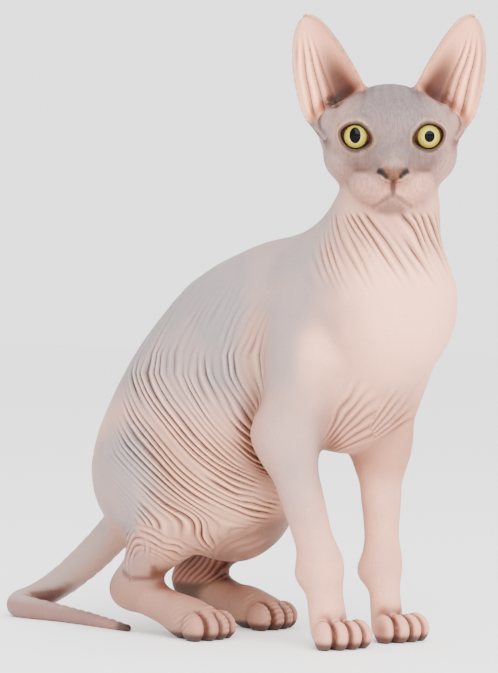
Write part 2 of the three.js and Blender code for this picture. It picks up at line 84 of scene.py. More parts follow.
def egg(p, centre, radii, turn=(0, 0, 0)):
    """Distance to an ellipsoid, about: the point is scaled so that the ellipsoid is a ball of radius 1,
    and its height above that ball is scaled back by how steeply it grows there."""
    q = (p - np.array(centre, p.dtype)) @ turned(*turn).astype(p.dtype)
    near = np.linalg.norm(q / np.array(radii, p.dtype), axis=1)
    slope = np.linalg.norm(q / np.array(radii, p.dtype) ** 2, axis=1)
    return near * (near - 1) / np.maximum(slope, 1e-6)


def bone(p, a, ra, b, rb):
    """Distance to a bone from a to b wrapped in flesh, whose radius runs from ra to rb."""
    a = np.array(a, p.dtype)
    along = np.array(b, p.dtype) - a
    t = np.clip((p - a) @ along / (along @ along), 0, 1)
    return np.linalg.norm(p - a - t[:, None] * along, axis=1) - (ra + (rb - ra) * t)


def flesh(k, forms):
    """Several distances blended one after another with the same fillet."""
    d = forms[0]
    for form in forms[1:]:
        d = blend(d, form, k)
    return d


HEAD_TURN = turned(HEAD_YAW)


def to_head(p):
    """Points of the pose on the head's own axes: moved to its centre, then turned back."""
    return (p - HEAD_CENTRE.astype(p.dtype)) @ HEAD_TURN.astype(p.dtype)


def skull(q):
    """The head without ears or eyes, on the head's own axes."""
    cranium = [egg(q, (-14, 0, 10), (40, 36, 32)), egg(q, (6, 0, 12), (27, 36, 24))]
    for s in (1, -1):
        cranium.append(egg(q, (-2, 21 * s, -3), (26, 21, 20)))
        cranium.append(egg(q, (-14, 31 * s, 14), (16, 14, 15)))
    muzzle = [egg(q, (22, 0, -6), (23, 13, 15), (0, -18, 0))]
    for s in (1, -1):
        muzzle.append(egg(q, (26.5, 12.5 * s, -22.5), (14, 13.5, 11), (14 * s, 0, 0)))
    muzzle.append(egg(q, (24, 0, -31), (13.5, 11, 7.5)))
    d = blend(flesh(9, cranium), flesh(8, muzzle), 13)
    for s in (1, -1):
        d = blend(d, egg(q, (12, 19 * s, 22), (11, 13, 4.5), (20 * s, -22, 0)), 8)
    return blend(d, egg(q, (41, 0, -15.5), (5.2, 9.5, 6)), 3)


def eye_axes(side):
    """The centre and the axes of one eyeball on the head's axes; it looks along its own +X."""
    x, y, z = EYE_PLACE
    return np.array([x, y * side, z]), turned(EYE_TURN * side, -EYE_DROP)


def eye_reach(q, side):
    """A point on one eye's axes, and how far it is outside the almond of the lids: a rounded lozenge
    whose inner corner is lower. Across and up are taken as shares of the opening, raised to a power
    under 2 and added, and the root of the sum is 1 on the lids."""
    centre, axes = eye_axes(side)
    e = (q - centre.astype(q.dtype)) @ axes.astype(q.dtype)
    slant = math.radians(EYE_SLANT) * side
    u = np.abs(math.cos(slant) * e[:, 1] + math.sin(slant) * e[:, 2]) / EYE_OPENING[0]
    v = np.abs(math.cos(slant) * e[:, 2] - math.sin(slant) * e[:, 1]) / EYE_OPENING[1]
    across = np.power(np.power(u, EYE_CORNERS) + np.power(v, EYE_CORNERS), 1 / EYE_CORNERS)
    return e, (across - 1) * EYE_OPENING[1]


def eyed(q, d):
    """The head d with a socket round each eyeball and a soft lid round each opening."""
    for side in (1, -1):
        e, reach = eye_reach(q, side)
        from_ball = np.linalg.norm(e, axis=1) - EYE_RADIUS
        lid = np.hypot(reach, from_ball - 0.5) - LID_RADIUS
        lid = np.where(e[:, 0] > 2, lid, 99)
        tunnel = np.maximum(reach, -e[:, 0])
        d = carve(d, tunnel, 3)
        d = blend(d, lid, 3)
        d = carve(d, from_ball - 0.1, 0.5)
    return d


# Ears. Large thin cups of skin over cartilage, open to the front, each a leaf-shaped sheet whose middle
# is pressed back. The sheet's wall is as thick as the solids' and its root runs into the head.
EAR_LENGTH = 66.8
EAR_HALF_WIDTH = 21.3
EAR_TIP_IN = 4.0
EAR_WALL = 2.4
EAR_CUP = 17.0
EAR_ROOT = (-8.0, 31.5, 22.0)
EAR_AXIS = (-0.16, 0.375, 0.9)
EAR_FRONT = (0.93, 0.36, 0.0)


def ear_axes(side):
    """The root and the axes of one ear on the head's axes: out of the open front, across, and up."""
    root = np.array(EAR_ROOT) * (1, side, 1)
    up = np.array(EAR_AXIS) * (1, side, 1)
    up = up / np.linalg.norm(up)
    front = np.array(EAR_FRONT) * (1, side, 1)
    front = front - (front @ up) * up
    front = front / np.linalg.norm(front)
    return root, np.stack([front, np.cross(up, front) * side, up], axis=1)


def ear_leaf(q, side):
    """A point on one ear's axes, with the leaf's half width and the cup's depth at its height."""
    root, axes = ear_axes(side)
    e = (q - root.astype(q.dtype)) @ axes.astype(q.dtype)
    rise = np.clip(e[:, 2] / EAR_LENGTH, 0, 1)
    e[:, 1] += 0.8 + EAR_TIP_IN * rise**3
    taper = np.clip((14 - e[:, 2]) / 26, 0, 1)
    width = EAR_HALF_WIDTH * (1 - 0.5 * taper**2) * np.power(1 - np.power(rise, 1.8), 0.54) + 0.01
    return e, width, EAR_CUP * np.power(1.02 - rise, 0.8)


def ear(q, side):
    """Distance to one ear: first how far the point is in front of the cupped sheet and how far outside
    its leaf outline, then the two together less half the wall."""
    e, width, cup = ear_leaf(q, side)
    u = np.clip(e[:, 1] / width, -1.3, 1.3)
    sheet = -cup * (1 - u * u)
    slope = np.sqrt(1 + (2 * cup * u / np.maximum(width, 2)) ** 2)
    face = np.abs(e[:, 0] - sheet) / slope
    edge = np.maximum((np.abs(e[:, 1]) - width) * 0.8, e[:, 2] - EAR_LENGTH)
    edge = np.maximum(edge, -12 - e[:, 2])
    return np.hypot(face, np.maximum(edge, 0)) - EAR_WALL / 2


# Body. Torso along the bent spine, neck, four legs with their paws, and the tail, as bones and muscles
# wrapped in flesh. The joints stand where the photo's pose puts them.
FORE = {
    -1: dict(scapula=(-6, -24, 232), shoulder=(10, -33, 186), elbow=(-4, -36, 132),
             wrist=(19, -29, 44), wrist_radius=11.0, paw=(30, -27), yaw=-22),
    1: dict(scapula=(0, 22, 232), shoulder=(37, 33, 186), elbow=(22, 31, 128),
            wrist=(25, 29, 42), wrist_radius=9.5, paw=(36, 28), yaw=-16),
}
HIND = {
    -1: dict(hip=(-126, -18, 99), knee=(-101, -41, 69), heel=(-127, -42, 30), ball=(-68, -40), yaw=-6),
    1: dict(hip=(-126, 18, 100), knee=(-100, 38, 70), heel=(-138, 36, 29), ball=(-73, 34), yaw=0),
}


def torso(p):
    """Ellipsoids from rump to chest, each tipped along the spine and run into the next."""
    return flesh(30, [
        egg(p, (-136, 0, 98), (46, 42, 50), (0, 60, 0)),
        egg(p, (-113, 0, 142), (60, 46, 53), (0, 55, 0)),
        egg(p, (-66, 0, 182), (66, 46, 62), (0, 38, 0)),
        egg(p, (-18, 0, 205), (54, 42, 56), (0, 14, 0)),
        egg(p, (40, 0, 212), (46, 45, 52), (0, 70, 0)),
        egg(p, (-76, 0, 110), (42, 40, 42), (0, 30, 0)),
        egg(p, (-73, -4, 92), (36, 38, 43), (0, 14, 0)),
        egg(p, (16, 0, 160), (36, 28, 38)),
    ])


def neck(p):
    """Two tapering bones, one along the nape and one along the throat, blended."""
    nape = bone(p, (18, 0, 236), 33, (54, -10, 284), 25)
    throat = bone(p, (52, 0, 232), 37, (64, -12, 276), 26)
    return blend(nape, throat, 24)


def toe_set(p, foot, yaw, width, reach):
    """The distances to the four rounded toes that fan out across the front of a paw."""
    c, s = math.cos(math.radians(yaw)), math.sin(math.radians(yaw))
    forms = []
    for out in (-1.5, -0.5, 0.5, 1.5):
        across = out * width / 4.1
        ahead = reach - 2.2 * abs(out) ** 1.5
        centre = (foot[0] + c * ahead - s * across, foot[1] + c * across + s * ahead, 8.5)
        forms.append(egg(p, centre, (10.5, width / 6.3, 9.6), (yaw + 9 * out, -10, 0)))
    return forms


def foreleg(p, side, scapula, shoulder, elbow, wrist, wrist_radius, paw, yaw):
    """Shoulder blade, tapering bones down to the paw, and toes fanned out at its front."""
    blade = [(v + w) / 2 for v, w in zip(scapula, shoulder)]
    cuff = (wrist[0], wrist[1], wrist[2] + 8)
    leg = flesh(14, [
        egg(p, blade, (18, 14, 42), (0, -18, side * 6)),
        bone(p, shoulder, 23, elbow, 16),
        bone(p, (elbow[0] - 7, elbow[1], elbow[2] + 6), 13, elbow, 14),
        bone(p, elbow, 16, cuff, wrist_radius),
        bone(p, cuff, wrist_radius, (paw[0] - 6, paw[1], wrist_radius), wrist_radius + 1),
        egg(p, (wrist[0] - 11, wrist[1], wrist[2] + 2), (4.5, 4.5, 4.5)),
    ])
    return blend(leg, flesh(0.9, toe_set(p, paw, yaw, 36, 9)), 2.5)


def hindleg(p, hip, knee, heel, ball, yaw):
    """A thick thigh and a thin shank that meet at the knee, the long foot, and its toes."""
    instep = (ball[0] - 14, ball[1], 13)
    leg = flesh(10, [
        blend(bone(p, hip, 36, knee, 20), bone(p, knee, 17, heel, 12), 16),
        bone(p, heel, 12.5, instep, 11.5),
        bone(p, instep, 11.5, (ball[0], ball[1], 11), 11.5),
    ])
    return blend(leg, flesh(0.9, toe_set(p, ball, yaw, 36, 7.5)), 2.5)


TAIL_POINTS = np.array([
    (-150, 0, 82), (-172, 0, 66), (-200, 1, 43), (-230, 2, 23), (-251, 0, 12), (-257, -8, 8.4),
    (-245, -14, 6.8), (-208, -18, 5.2), (-172, -26, 3.6), (-136, -36, 2),
], float)
TAIL_RADII = (13.5, 12.3, 11.2, 9.8, 8.7, 8.2, 7.6, 5.8, 4.1, 2.6)


def smooth_line(points, count):
    """A line of count points on the cubic curve that runs evenly through the given ones."""
    points = np.asarray(points, float)
    ends = np.vstack([2 * points[0] - points[1], points, 2 * points[-1] - points[-2]])
    t = np.linspace(0, len(points) - 1.0001, count)
    i = t.astype(int)
    f = (t - i)[:, None]
    a, b, c, d = ends[i], ends[i + 1], ends[i + 2], ends[i + 3]
    square = (2 * a - 5 * b + 4 * c - d) * f**2
    cube = (3 * b - a - 3 * c + d) * f**3
    return 0.5 * (2 * b + (c - a) * f + square + cube)


TAIL_LINE = smooth_line(np.column_stack([TAIL_POINTS, TAIL_RADII]), 37)


def within(p, low, high, form):
    """The distance form(p) inside a box round the form, and 99 outside, where it is too far off."""
    low, high = np.array(low, p.dtype), np.array(high, p.dtype)
    near = np.all((p > low) & (p < high), axis=1)
    d = np.full(len(p), 99, p.dtype)
    if near.any():
        d[near] = form(p[near])
    return d


def box_round(points, reach):
    """The low and high corners of the box round some points, wider by reach."""
    points = np.array(points, float)
    return points.min(axis=0) - reach, points.max(axis=0) + reach


def tail(p):
    """Bones along the tail's line, each as thick as the line says, six to a box."""
    d = np.full(len(p), 99, p.dtype)
    for start in range(0, len(TAIL_LINE) - 1, 6):
        line = TAIL_LINE[start:start + 7]
        low, high = box_round(line[:, :3], line[0, 3] + 20)
        part = within(p, low, high, lambda r: flesh(2, [
            bone(r, a[:3], a[3], b[:3], b[3]) for a, b in zip(line, line[1:])]))
        d = blend(d, part, 2)
    return d


def head(p):
    """Skull, sockets and lids, with each ear blended on inside its own box."""
    q = to_head(p)
    d = eyed(q, skull(q))
    for side in (-1, 1):
        root, axes = ear_axes(side)
        low, high = box_round([root, root + axes[:, 2] * EAR_LENGTH], 42)
        d = blend(d, within(q, low, high, lambda r: ear(r, side)), 5)
    return d


def body(p):
    """The whole cat as one distance, in millimetres; its soles are cut level with the floor."""
    d = within(p, (-222, -90, 2), (145, 90, 345), lambda r: blend(torso(r), neck(r), 22))
    low, high = box_round([HEAD_CENTRE - (0, 0, 45), HEAD_CENTRE + (0, 0, 90)], 84)
    d = blend(d, within(p, low, high, head), 9)
    for side in (-1, 1):
        leg = FORE[side]
        tips = [leg[name] for name in ("scapula", "shoulder", "elbow", "wrist")] + [(*leg["paw"], 0)]
        low, high = box_round(tips, 54)
        d = blend(d, within(p, low, high, lambda r: foreleg(r, side, **leg)), 13)
    for side in (-1, 1):
        leg = HIND[side]
        low, high = box_round([leg["hip"], leg["knee"], leg["heel"], (*leg["ball"], 0)], 60)
        d = blend(d, within(p, low, high, lambda r: hindleg(r, **leg)), 13)
    d = blend(d, tail(p), 9)
    return np.maximum(d, -p[:, 2])


# Skin. One closed surface over the whole body, taken from its distance on a fine grid of cells: one
# corner in each cell that the surface crosses and one four-sided face on each grid line it crosses.
SKIN_LOW = np.array([-270.0, -78.0, -4.0])
SKIN_HIGH = np.array([118.0, 74.0, 412.0])
SKIN_CELL = 1.05
COARSE = 6


def in_parts(work, p, parts):
    """A function of points worked out on several parts of them side by side."""
    with ThreadPoolExecutor(4) as pool:
        return np.concatenate(list(pool.map(work, np.array_split(p, parts))))


def field_grid():
    """The body's distance on the fine grid. It is worked out on every sixth line of the grid first, and
    in between only near the surface; farther off the coarse value stands in."""
    count = np.ceil((SKIN_HIGH - SKIN_LOW) / SKIN_CELL / COARSE).astype(int) * COARSE + 1
    axes = [(SKIN_LOW[a] + SKIN_CELL * np.arange(count[a])).astype(np.float32) for a in range(3)]
    rough = np.stack(np.meshgrid(*[a[::COARSE] for a in axes], indexing="ij"), -1).reshape(-1, 3)
    shape = tuple(len(a[::COARSE]) for a in axes)
    value = in_parts(body, rough, 16).reshape(shape)
    near = np.abs(value) < SKIN_CELL * COARSE * 0.95
    for axis in range(3):
        near = near | np.roll(near, 1, axis) | np.roll(near, -1, axis)
    pick = [np.minimum((np.arange(n) + COARSE // 2) // COARSE, s - 1) for n, s in zip(count, shape)]
    fine = value[np.ix_(*pick)].astype(np.float32)
    i, j, k = np.nonzero(near[np.ix_(*pick)])
    points = np.stack([axes[0][i], axes[1][j], axes[2][k]], 1)
    fine[i, j, k] = in_parts(body, points, 160)
    return axes, fine


def dual_surface(axes, value):
    """Corners and four-sided faces of the surface where value is zero."""
    inside = value < 0
    core = tuple(n - 1 for n in value.shape)

    def shifted(a, d):
        return a[d[0]:d[0] + core[0], d[1]:d[1] + core[1], d[2]:d[2] + core[2]]

    corners = [(x, y, z) for x in (0, 1) for y in (0, 1) for z in (0, 1)]
    filled = sum(shifted(inside, c).astype(np.int8) for c in corners)
    cells = np.stack(np.nonzero((filled > 0) & (filled < 8)), 1)
    number = np.full(core, -1, np.int64)
    number[tuple(cells.T)] = np.arange(len(cells))
    total = np.zeros((len(cells), 3))
    hits = np.zeros(len(cells))
    for axis in range(3):
        step = np.eye(3, dtype=int)[axis]
        for c in corners:
            if c[axis]:
                continue
            a = cells + c
            b = a + step
            va = value[tuple(a.T)]
            vb = value[tuple(b.T)]
            cross = (va < 0) != (vb < 0)
            t = np.where(cross, va / np.where(cross, va - vb, 1), 0)
            total += cross[:, None] * (a + t[:, None] * step)
            hits += cross
    place = total / hits[:, None]
    points = np.stack([np.interp(place[:, n], np.arange(len(axes[n])), axes[n]) for n in range(3)], 1)
    faces = []
    for axis in range(3):
        u, v = np.eye(3, dtype=int)[(axis + 1) % 3], np.eye(3, dtype=int)[(axis + 2) % 3]
        a = shifted(inside, (0, 0, 0))
        b = shifted(inside, np.eye(3, dtype=int)[axis])
        edge = np.stack(np.nonzero(a != b), 1)
        edge = edge[(edge[:, (axis + 1) % 3] > 0) & (edge[:, (axis + 2) % 3] > 0)]
        quad = np.stack([number[tuple((edge - m).T)] for m in (0 * u, u, u + v, v)], 1)
        out = a[tuple(edge.T)]
        faces.append(np.where(out[:, None], quad, quad[:, ::-1]))
    return points, np.concatenate(faces)


def corner_normals(points, faces):
    """The way out at each corner: the mean of the crossed diagonals of the faces round it."""
    a, b, c, d = (points[faces[:, corner]] for corner in range(4))
    cross = np.cross(c - a, d - b)
    at = faces.ravel()
    sums = [np.bincount(at, np.repeat(cross[:, axis], 4), len(points)) for axis in range(3)]
    total = np.stack(sums, 1)
    return total / np.maximum(np.linalg.norm(total, axis=1), 1e-9)[:, None]


def step(x, low, high):
    """0 below low, 1 above high, and a smooth rise between; it falls where low is the greater."""
    t = np.clip((x - low) / (high - low), 0, 1)
    return t * t * (3 - 2 * t)


def mottle(p, size, seed):
    """Smooth seeded noise from -1 to 1: random values on a lattice of this size, blended between."""
    values = np.random.default_rng(seed).uniform(-1, 1, (32, 32, 32))
    grid = np.asarray(p, float) / size
    base = np.floor(grid).astype(int)
    f = grid - base
    f = f * f * (3 - 2 * f)
    total = np.zeros(len(grid))
    for corner in range(8):
        c = np.array([corner & 1, corner >> 1 & 1, corner >> 2 & 1])
        i, j, k = ((base + c) % 32).T
        total += values[i, j, k] * np.prod(np.where(c, f, 1 - f), axis=1)
    return total


# Folds. The bare skin is looser than the body and lies in folds: rounded ridges with narrow valleys. A
# set of folds is a count of turns, whole in the valleys, and a depth that fades it out at its edges.
FLANK_SPACING = 6.2
KNEE_TURN = (-112, 62)


def flank_folds(p):
    """Folds that run down the side of the trunk, lean forward as they go down, the rear ones more, and
    turn back round the knee at their foot."""
    x, y, z = p.T
    below = np.maximum(172 - z, 0)
    lean = 0.25 + 0.45 * step(x - 0.45 * below - 0.006 * below**2, -55, -100)
    down = x - lean * below - 0.0056 * below**2 - 0.5 * np.maximum(z - 185, 0)
    around = 1.42 * (np.hypot(x - KNEE_TURN[0], z - KNEE_TURN[1]) - 37) - 188
    low = step(z, 88, 66) * step(x, -40, -62)
    lines = down * (1 - low) + around * low
    drawn = np.stack([lines, y, 0.4 * z + 0.3 * x], axis=1)
    turns = lines / FLANK_SPACING + 0.55 * mottle(drawn, 26, 1) + 0.42 * mottle(drawn, 9, 2)
    depth = step(x, -144, -122) * step(x - 0.12 * (z - 140), -12, -26) * step(z, 50, 60)
    depth = depth * (0.25 * step(z, 240, 200) + 0.75 * step(z, 205, 168))
    smooth = np.hypot((x + 130) / 22, (z - 84) / 27)
    depth = depth * (0.1 + 0.9 * step(smooth, 0.8, 1.3)) * step(np.abs(y), 4, 18)
    depth = depth * (1 - bare_belly(x, z))
    depth = depth * step(near_bone(p, HIND[-1]["knee"], HIND[-1]["heel"]), 17, 23)
    depth = depth * step(near_bone(p, HIND[1]["knee"], HIND[1]["heel"]), 17, 23)
    return turns, depth * np.clip(0.8 + 1.5 * mottle(drawn, 10, 3), 0.12, 1.5)


def bare_belly(x, z):
    """1 on the smoother belly, below a line that rises from the knee to the elbow."""
    return step(z - 47 - 0.57 * (x + 89), 7, -5)


def near_bone(p, a, b):
    """How far each point is from the line of a bone."""
    return bone(p, a, 0, b, 0)


def fan(a, z, p, centre, spread, near, far, low, high):
    """Folds that spread from one place like the ribs of a fan, between two angles and two distances."""
    angle = np.arctan2(z - centre[1], a - centre[0])
    reach = np.hypot(z - centre[1], a - centre[0])
    turns = angle / spread + 0.35 * mottle(p, 14, 4) + 0.5 * mottle(p, 34, 5)
    depth = step(reach, near * 0.6, near * 1.3) * step(reach, far * 1.2, far * 0.7)
    return turns, depth * step(angle, low - 0.08, low + 0.1) * step(angle, high + 0.1, high - 0.08)


def other_folds(p, normal):
    """The folds of the throat, chest, groin, knees, hocks, brow and ears. Where sets meet, the deeper
    one holds."""
    x, y, z = p.T
    q = to_head(p)
    a = 0.788 * x + 0.616 * y
    sets = []
    round_neck = np.arctan2(y + 8, x - 48)
    from_front = np.abs(round_neck + 0.9)
    strand = 28 * (round_neck + 0.9) - 0.5 * (280 - z)
    along = np.stack([strand, 0.22 * z, 0.3 * y], axis=1)
    turns = strand / 4.6 + 0.3 * mottle(p, 22, 6) + 0.55 * mottle(along, 7, 16)
    off_muzzle = step(q[:, 2], -38, -44)
    depth = step(z, 222, 258) * off_muzzle * step(from_front, 1.5, 1.05)
    depth = depth * step(np.hypot(x - 48, y + 8), 8, 16)
    sets.append((turns, depth * np.clip(0.75 + 1.5 * mottle(along, 6, 7), 0.05, 1.3)))
    facing = step(0.616 * normal[:, 0] - 0.788 * normal[:, 1], 0.05, 0.4)
    front = facing * step(x, 10, 26) * step(y, -36, -28)
    turns, depth = fan(a, z, p, (-7.5, 116), 0.125, 16, 56, 0.38, 1.18)
    sets.append((turns, 0.8 * depth * front))
    turns, depth = fan(a, z, p, (20.4, 126), 0.15, 12, 42, 0.4, 1.1)
    sets.append((turns, 0.8 * depth * front * step(a, 16, 26)))
    off_shanks = np.minimum(near_bone(p, HIND[-1]["knee"], HIND[-1]["heel"]),
                            near_bone(p, HIND[1]["knee"], HIND[1]["heel"]))
    turns = (-0.52 * (x + 52) + 0.854 * (z - 59)) / 3.4 + 0.5 * mottle(p, 20, 8)
    depth = step(x, -88, -76) * step(x, -4, -20) * bare_belly(x, z) * step(off_shanks, 17, 26)
    sets.append((turns, 0.4 * depth * np.clip(0.6 + 1.4 * mottle(p, 12, 18), 0, 1)))
    bend = np.hypot(x + 102, z - 46.4)
    turns = bend / 3.9 + 0.8 * mottle(p, 12, 9)
    depth = step(bend, 7, 11) * step(bend, 31, 25) * step(z, 42, 50)
    depth = depth * step(off_shanks, 27, 22) * step(y, 0, -2)
    sets.append((turns, 0.9 * depth * np.clip(0.7 + 1.2 * mottle(p, 7, 19), 0.1, 1.2)))
    along = near_bone(p, (-100, 38, 70), (-138, 36, 29))
    turns = (0.73 * (x + 100) - 0.68 * (z - 70)) / 3.5 + 0.3 * mottle(p, 12, 11)
    depth = step(along, 24, 19) * step(y, 12, 22) * step(z, 24, 34) * step(z, 78, 66)
    sets.append((turns, 0.9 * depth))
    turns = q[:, 1] / 6.2 + 0.25 * mottle(p, 14, 12)
    depth = step(q[:, 2], 24, 34) * step(np.abs(q[:, 1]), 24, 12) * step(q[:, 0], -22, -4)
    sets.append((turns, 0.22 * depth))
    for side in (-1, 1):
        e, width, cup = ear_leaf(q, side)
        u = e[:, 1] / np.maximum(width, 4)
        turns = u * 3.7 + 0.1 + 0.010 * e[:, 2] + 0.25 * mottle(q, 22, 20)
        inner = step(e[:, 0] + cup * (1 - u * u), 0.2, 0.9)
        depth = inner * step(u, -0.05, 0.15) * step(u, 0.98, 0.86)
        depth = depth * step(e[:, 2], 2, 12) * step(e[:, 2], 60, 44)
        depth = depth * step(ear(q, side), 2.5, 1)
        sets.append((turns, 0.95 * depth))
    turns = np.stack([s[0] for s in sets])
    depth = np.stack([s[1] for s in sets])
    best = depth.argmax(axis=0)[None]
    return np.take_along_axis(turns, best, 0)[0], np.take_along_axis(depth, best, 0)[0]


def ridge(turns):
    """The height of a fold from 0 in its narrow valley to 1 on its rounded ridge."""
    return 1 - np.abs(2 * (turns - np.floor(turns)) - 1) ** 2.4


# Face. Nose leather, lips and nostrils are part of the same skin: the lips' line and the groove up to
# the nose are pressed in along these points, given across and up on the head's axes.
LIP_LINE = ((0, -28.5), (4.0, -31.2), (8, -34.2), (11.5, -36.2))
CHEEK_LINE = ((34, -1.5), (26.5, -7.5), (21, -12), (14, -13.8), (10, -12.6))
PHILTRUM = ((0, -21), (0, -29.5))


def to_line(y, z, points):
    """How far points (y, z) are from a line of straight stretches."""
    reach = np.full(len(y), 99.0)
    for (ay, az), (by, bz) in zip(points, points[1:]):
        length = math.hypot(by - ay, bz - az)
        t = np.clip(((y - ay) * (by - ay) + (z - az) * (bz - az)) / length**2, 0, 1)
        reach = np.minimum(reach, np.hypot(y - ay - t * (by - ay), z - az - t * (bz - az)))
    return reach


def face_marks(q):
    """Where the lips' line, nostrils and nose leather are, each from 0 to 1, and the eyelids' rims."""
    y, z = np.abs(q[:, 1]), q[:, 2]
    ahead = step(q[:, 0], 16, 20)
    lips = ahead * step(to_line(y, z, LIP_LINE), 2.4, 0.2) * (0.45 + 0.35 * step(y, 12, 4))
    lips = np.maximum(lips, ahead * step(to_line(y, z, PHILTRUM), 2.1, 0.3))
    nostril = step(to_line(y, z, ((8.8, -15.2), (6.4, -16.6), (4.6, -18.4))), 2.2, 0.6)
    nostril = nostril * step(q[:, 0], 33, 37)
    half = np.interp(z, (-22.5, -21, -18.5, -15.5, -13.2, -12), (0, 2.2, 5.4, 9.4, 9.6, 6.5))
    nose = step(y - half, 0.8, -0.6) * step(q[:, 0], 33, 37) * step(z, -22.2, -21) * step(z, -9.5, -14.5)
    rims = np.zeros(len(q))
    for side in (1, -1):
        e, reach = eye_reach(q, side)
        upper = 0.35 + 0.65 * step(e[:, 2] - 0.4 * e[:, 1] * side, -6, 2)
        rims = np.maximum(rims, upper * step(e[:, 0], 1, 3) * step(np.abs(reach - 1.2), 1.2, 0.4))
    return lips, nostril, nose, rims


def cheek_fold(q):
    """The soft fold that runs from under the eye to the side of the nose, from 0 to 1."""
    return step(q[:, 0], 6, 14) * step(to_line(np.abs(q[:, 1]), q[:, 2], CHEEK_LINE), 4.6, 0.3)


def face_relief(q):
    """How far the skin stands out on the face: in at lips and nostrils, and in along smooth creases
    round the lids, each a bell curve across its line."""
    lips, nostril, nose, rims = face_marks(q)
    relief = -1.3 * lips - 2.0 * nostril + 0.3 * nose
    relief = relief - 0.6 * cheek_fold(q)
    for side in (1, -1):
        e, reach = eye_reach(q, side)
        upper = step(e[:, 2], -2, 3)
        outer = step(e[:, 1] * side, -9, -5)
        crease = np.exp(-((reach - 4.6) / 1.2) ** 2) * (0.3 + 0.7 * upper) * step(e[:, 0], 0, 4) * outer
        relief = relief - 0.7 * crease
        cheek = np.exp(-((reach - 9.5) / 1.8) ** 2) * step(e[:, 2], 2, -4) * step(e[:, 0], -2, 4)
        relief = relief - 0.45 * cheek
    return relief


points, quads = dual_surface(*field_grid())
for turn in range(2):
    points -= in_parts(body, points, 60)[:, None] * corner_normals(points, quads)
normals = corner_normals(points, quads)
flank_turns, flank_depth = flank_folds(points)
crease_turns, crease_depth = other_folds(points, normals)
flank_depth *= 1 - 0.9 * step(crease_depth, 0.12, 0.4)
FLANK_HEIGHT = 1.5
CREASE_HEIGHT = 1.15
relief = FLANK_HEIGHT * flank_depth * (ridge(flank_turns) - 0.6)
relief += CREASE_HEIGHT * crease_depth * (ridge(crease_turns) - 0.6)
relief += face_relief(to_head(points)) * step(points[:, 2], 270, 278)
relief += 0.25 * mottle(points, 9, 21) * step(points[:, 2], 268, 240)
points += (relief * step(points[:, 2], 0.3, 4))[:, None] * normals
points[:, 2] = np.maximum(points[:, 2], 0)

# The frame's origin is elsewhere than the pose's. An eye is in both and gives the shift between them.
low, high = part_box("eye_left")
eye_in_frame = (np.array(low) + np.array(high)) / 2
eye_in_pose = eye_axes(1)[0] @ HEAD_TURN.T + HEAD_CENTRE
SHIFT = eye_in_frame - eye_in_pose / 1000


def to_frame(p):
    """From millimetres on the pose's axes to metres in the frame."""
    return np.asarray(p) / 1000 + SHIFT


def new_piece(name, corners, faces):
    """A mesh object with its corners in metres in the shared frame, shaded smooth."""
    mesh = bpy.data.meshes.new(name)
    mesh.from_pydata(corners.tolist(), [], faces.tolist())
    mesh.polygons.foreach_set("use_smooth", np.ones(len(mesh.polygons), bool))
    mesh.update()
    piece = bpy.data.objects.new(name, mesh)
    bpy.context.scene.collection.objects.link(piece)
    return piece


# The skin's mesh is thinned to the size that a piece may have, most where it is flat.
SKIN_TRIANGLES = 190000
skin = new_piece("skin", to_frame(points), quads)
thin = skin.modifiers.new("thin", "DECIMATE")
thin.ratio = min(1, SKIN_TRIANGLES / (2 * len(quads)))
bpy.context.view_layer.update()
lighter = bpy.data.meshes.new_from_object(skin.evaluated_get(bpy.context.evaluated_depsgraph_get()))
skin.modifiers.clear()
skin.data = lighter
skin.data.polygons.foreach_set("use_smooth", np.ones(len(skin.data.polygons), bool))

# Skin tone. Pale pink over the chest and legs, lilac grey over the back, haunch and brow, warm brown low
# on the flank and in the folds. Some marks are painted light and shade: a painted highlight on the chest
# and on the folds' ridges, and painted shade in the hollows, under the body, on the far hind leg, on one
# side of the muzzle, behind the near shank, in the folds' valleys, deep in the ears, along the cheek
# folds, the lips' line and the nostrils, between the toes and where the paws meet the floor. Each mark
# is worked out at the corners and painted by the material.
count = len(skin.data.vertices)
corners = np.empty(count * 3, np.float32)
skin.data.vertices.foreach_get("co", corners)
P = (corners.reshape(-1, 3).astype(float) - SHIFT) * 1000
ways = np.empty(count * 3, np.float32)
skin.data.vertices.foreach_get("normal", ways)
N = ways.reshape(-1, 3).astype(float)
Q = to_head(P)
X, Y, Z = P.T
on_head = step(skull(Q), 5, 1)
on_ear = np.zeros(count)
ear_inside = np.zeros(count)
ear_depth_pink_and_shade = np.zeros(count)
ear_rim = np.zeros(count)
for side in (-1, 1):
    e, width, cup = ear_leaf(Q, side)
    u = e[:, 1] / np.maximum(width, 4)
    this = step(ear(Q, side), 2.5, 1) * step(e[:, 2], 2, 8)
    on_ear = np.maximum(on_ear, this)
    inside = this * step(e[:, 0] + cup * (1 - u * u), -0.4, 0.4)
    ear_inside = np.maximum(ear_inside, inside)
    # The deep middle of each ear: pink skin, and painted shade where the cup is deepest.
    centre = np.hypot((u + 0.2) / 0.72, (e[:, 2] - 12) / 36)
    ear_depth_pink_and_shade = np.maximum(ear_depth_pink_and_shade, inside * step(centre, 1.1, 0.35))
    edge = step(np.abs(e[:, 1]) - width, -3.0, -0.6) * step(e[:, 2], 10, 40)
    ear_rim = np.maximum(ear_rim, this * edge)
dark_tuft = step(np.hypot((Q[:, 1] + 35.6) / 6.4, (Q[:, 2] - 30.5) / 5.4), 1.15, 0.7)
red_spots = step(np.hypot(Q[:, 1] - 31.4, Q[:, 2] - 38.6), 2.9, 1.6)
red_spots = np.maximum(red_spots, step(np.hypot(Q[:, 1] - 31.4, Q[:, 2] - 30.0), 3.2, 2.0))
red_spots = np.maximum(red_spots, step(to_line(Q[:, 1], Q[:, 2], ((37.5, 37), (38.7, 24))), 2.2, 0.6))
ahead = step(Q[:, 0], -44, -36) * step(N @ HEAD_TURN[:, 0], -0.1, 0.2)
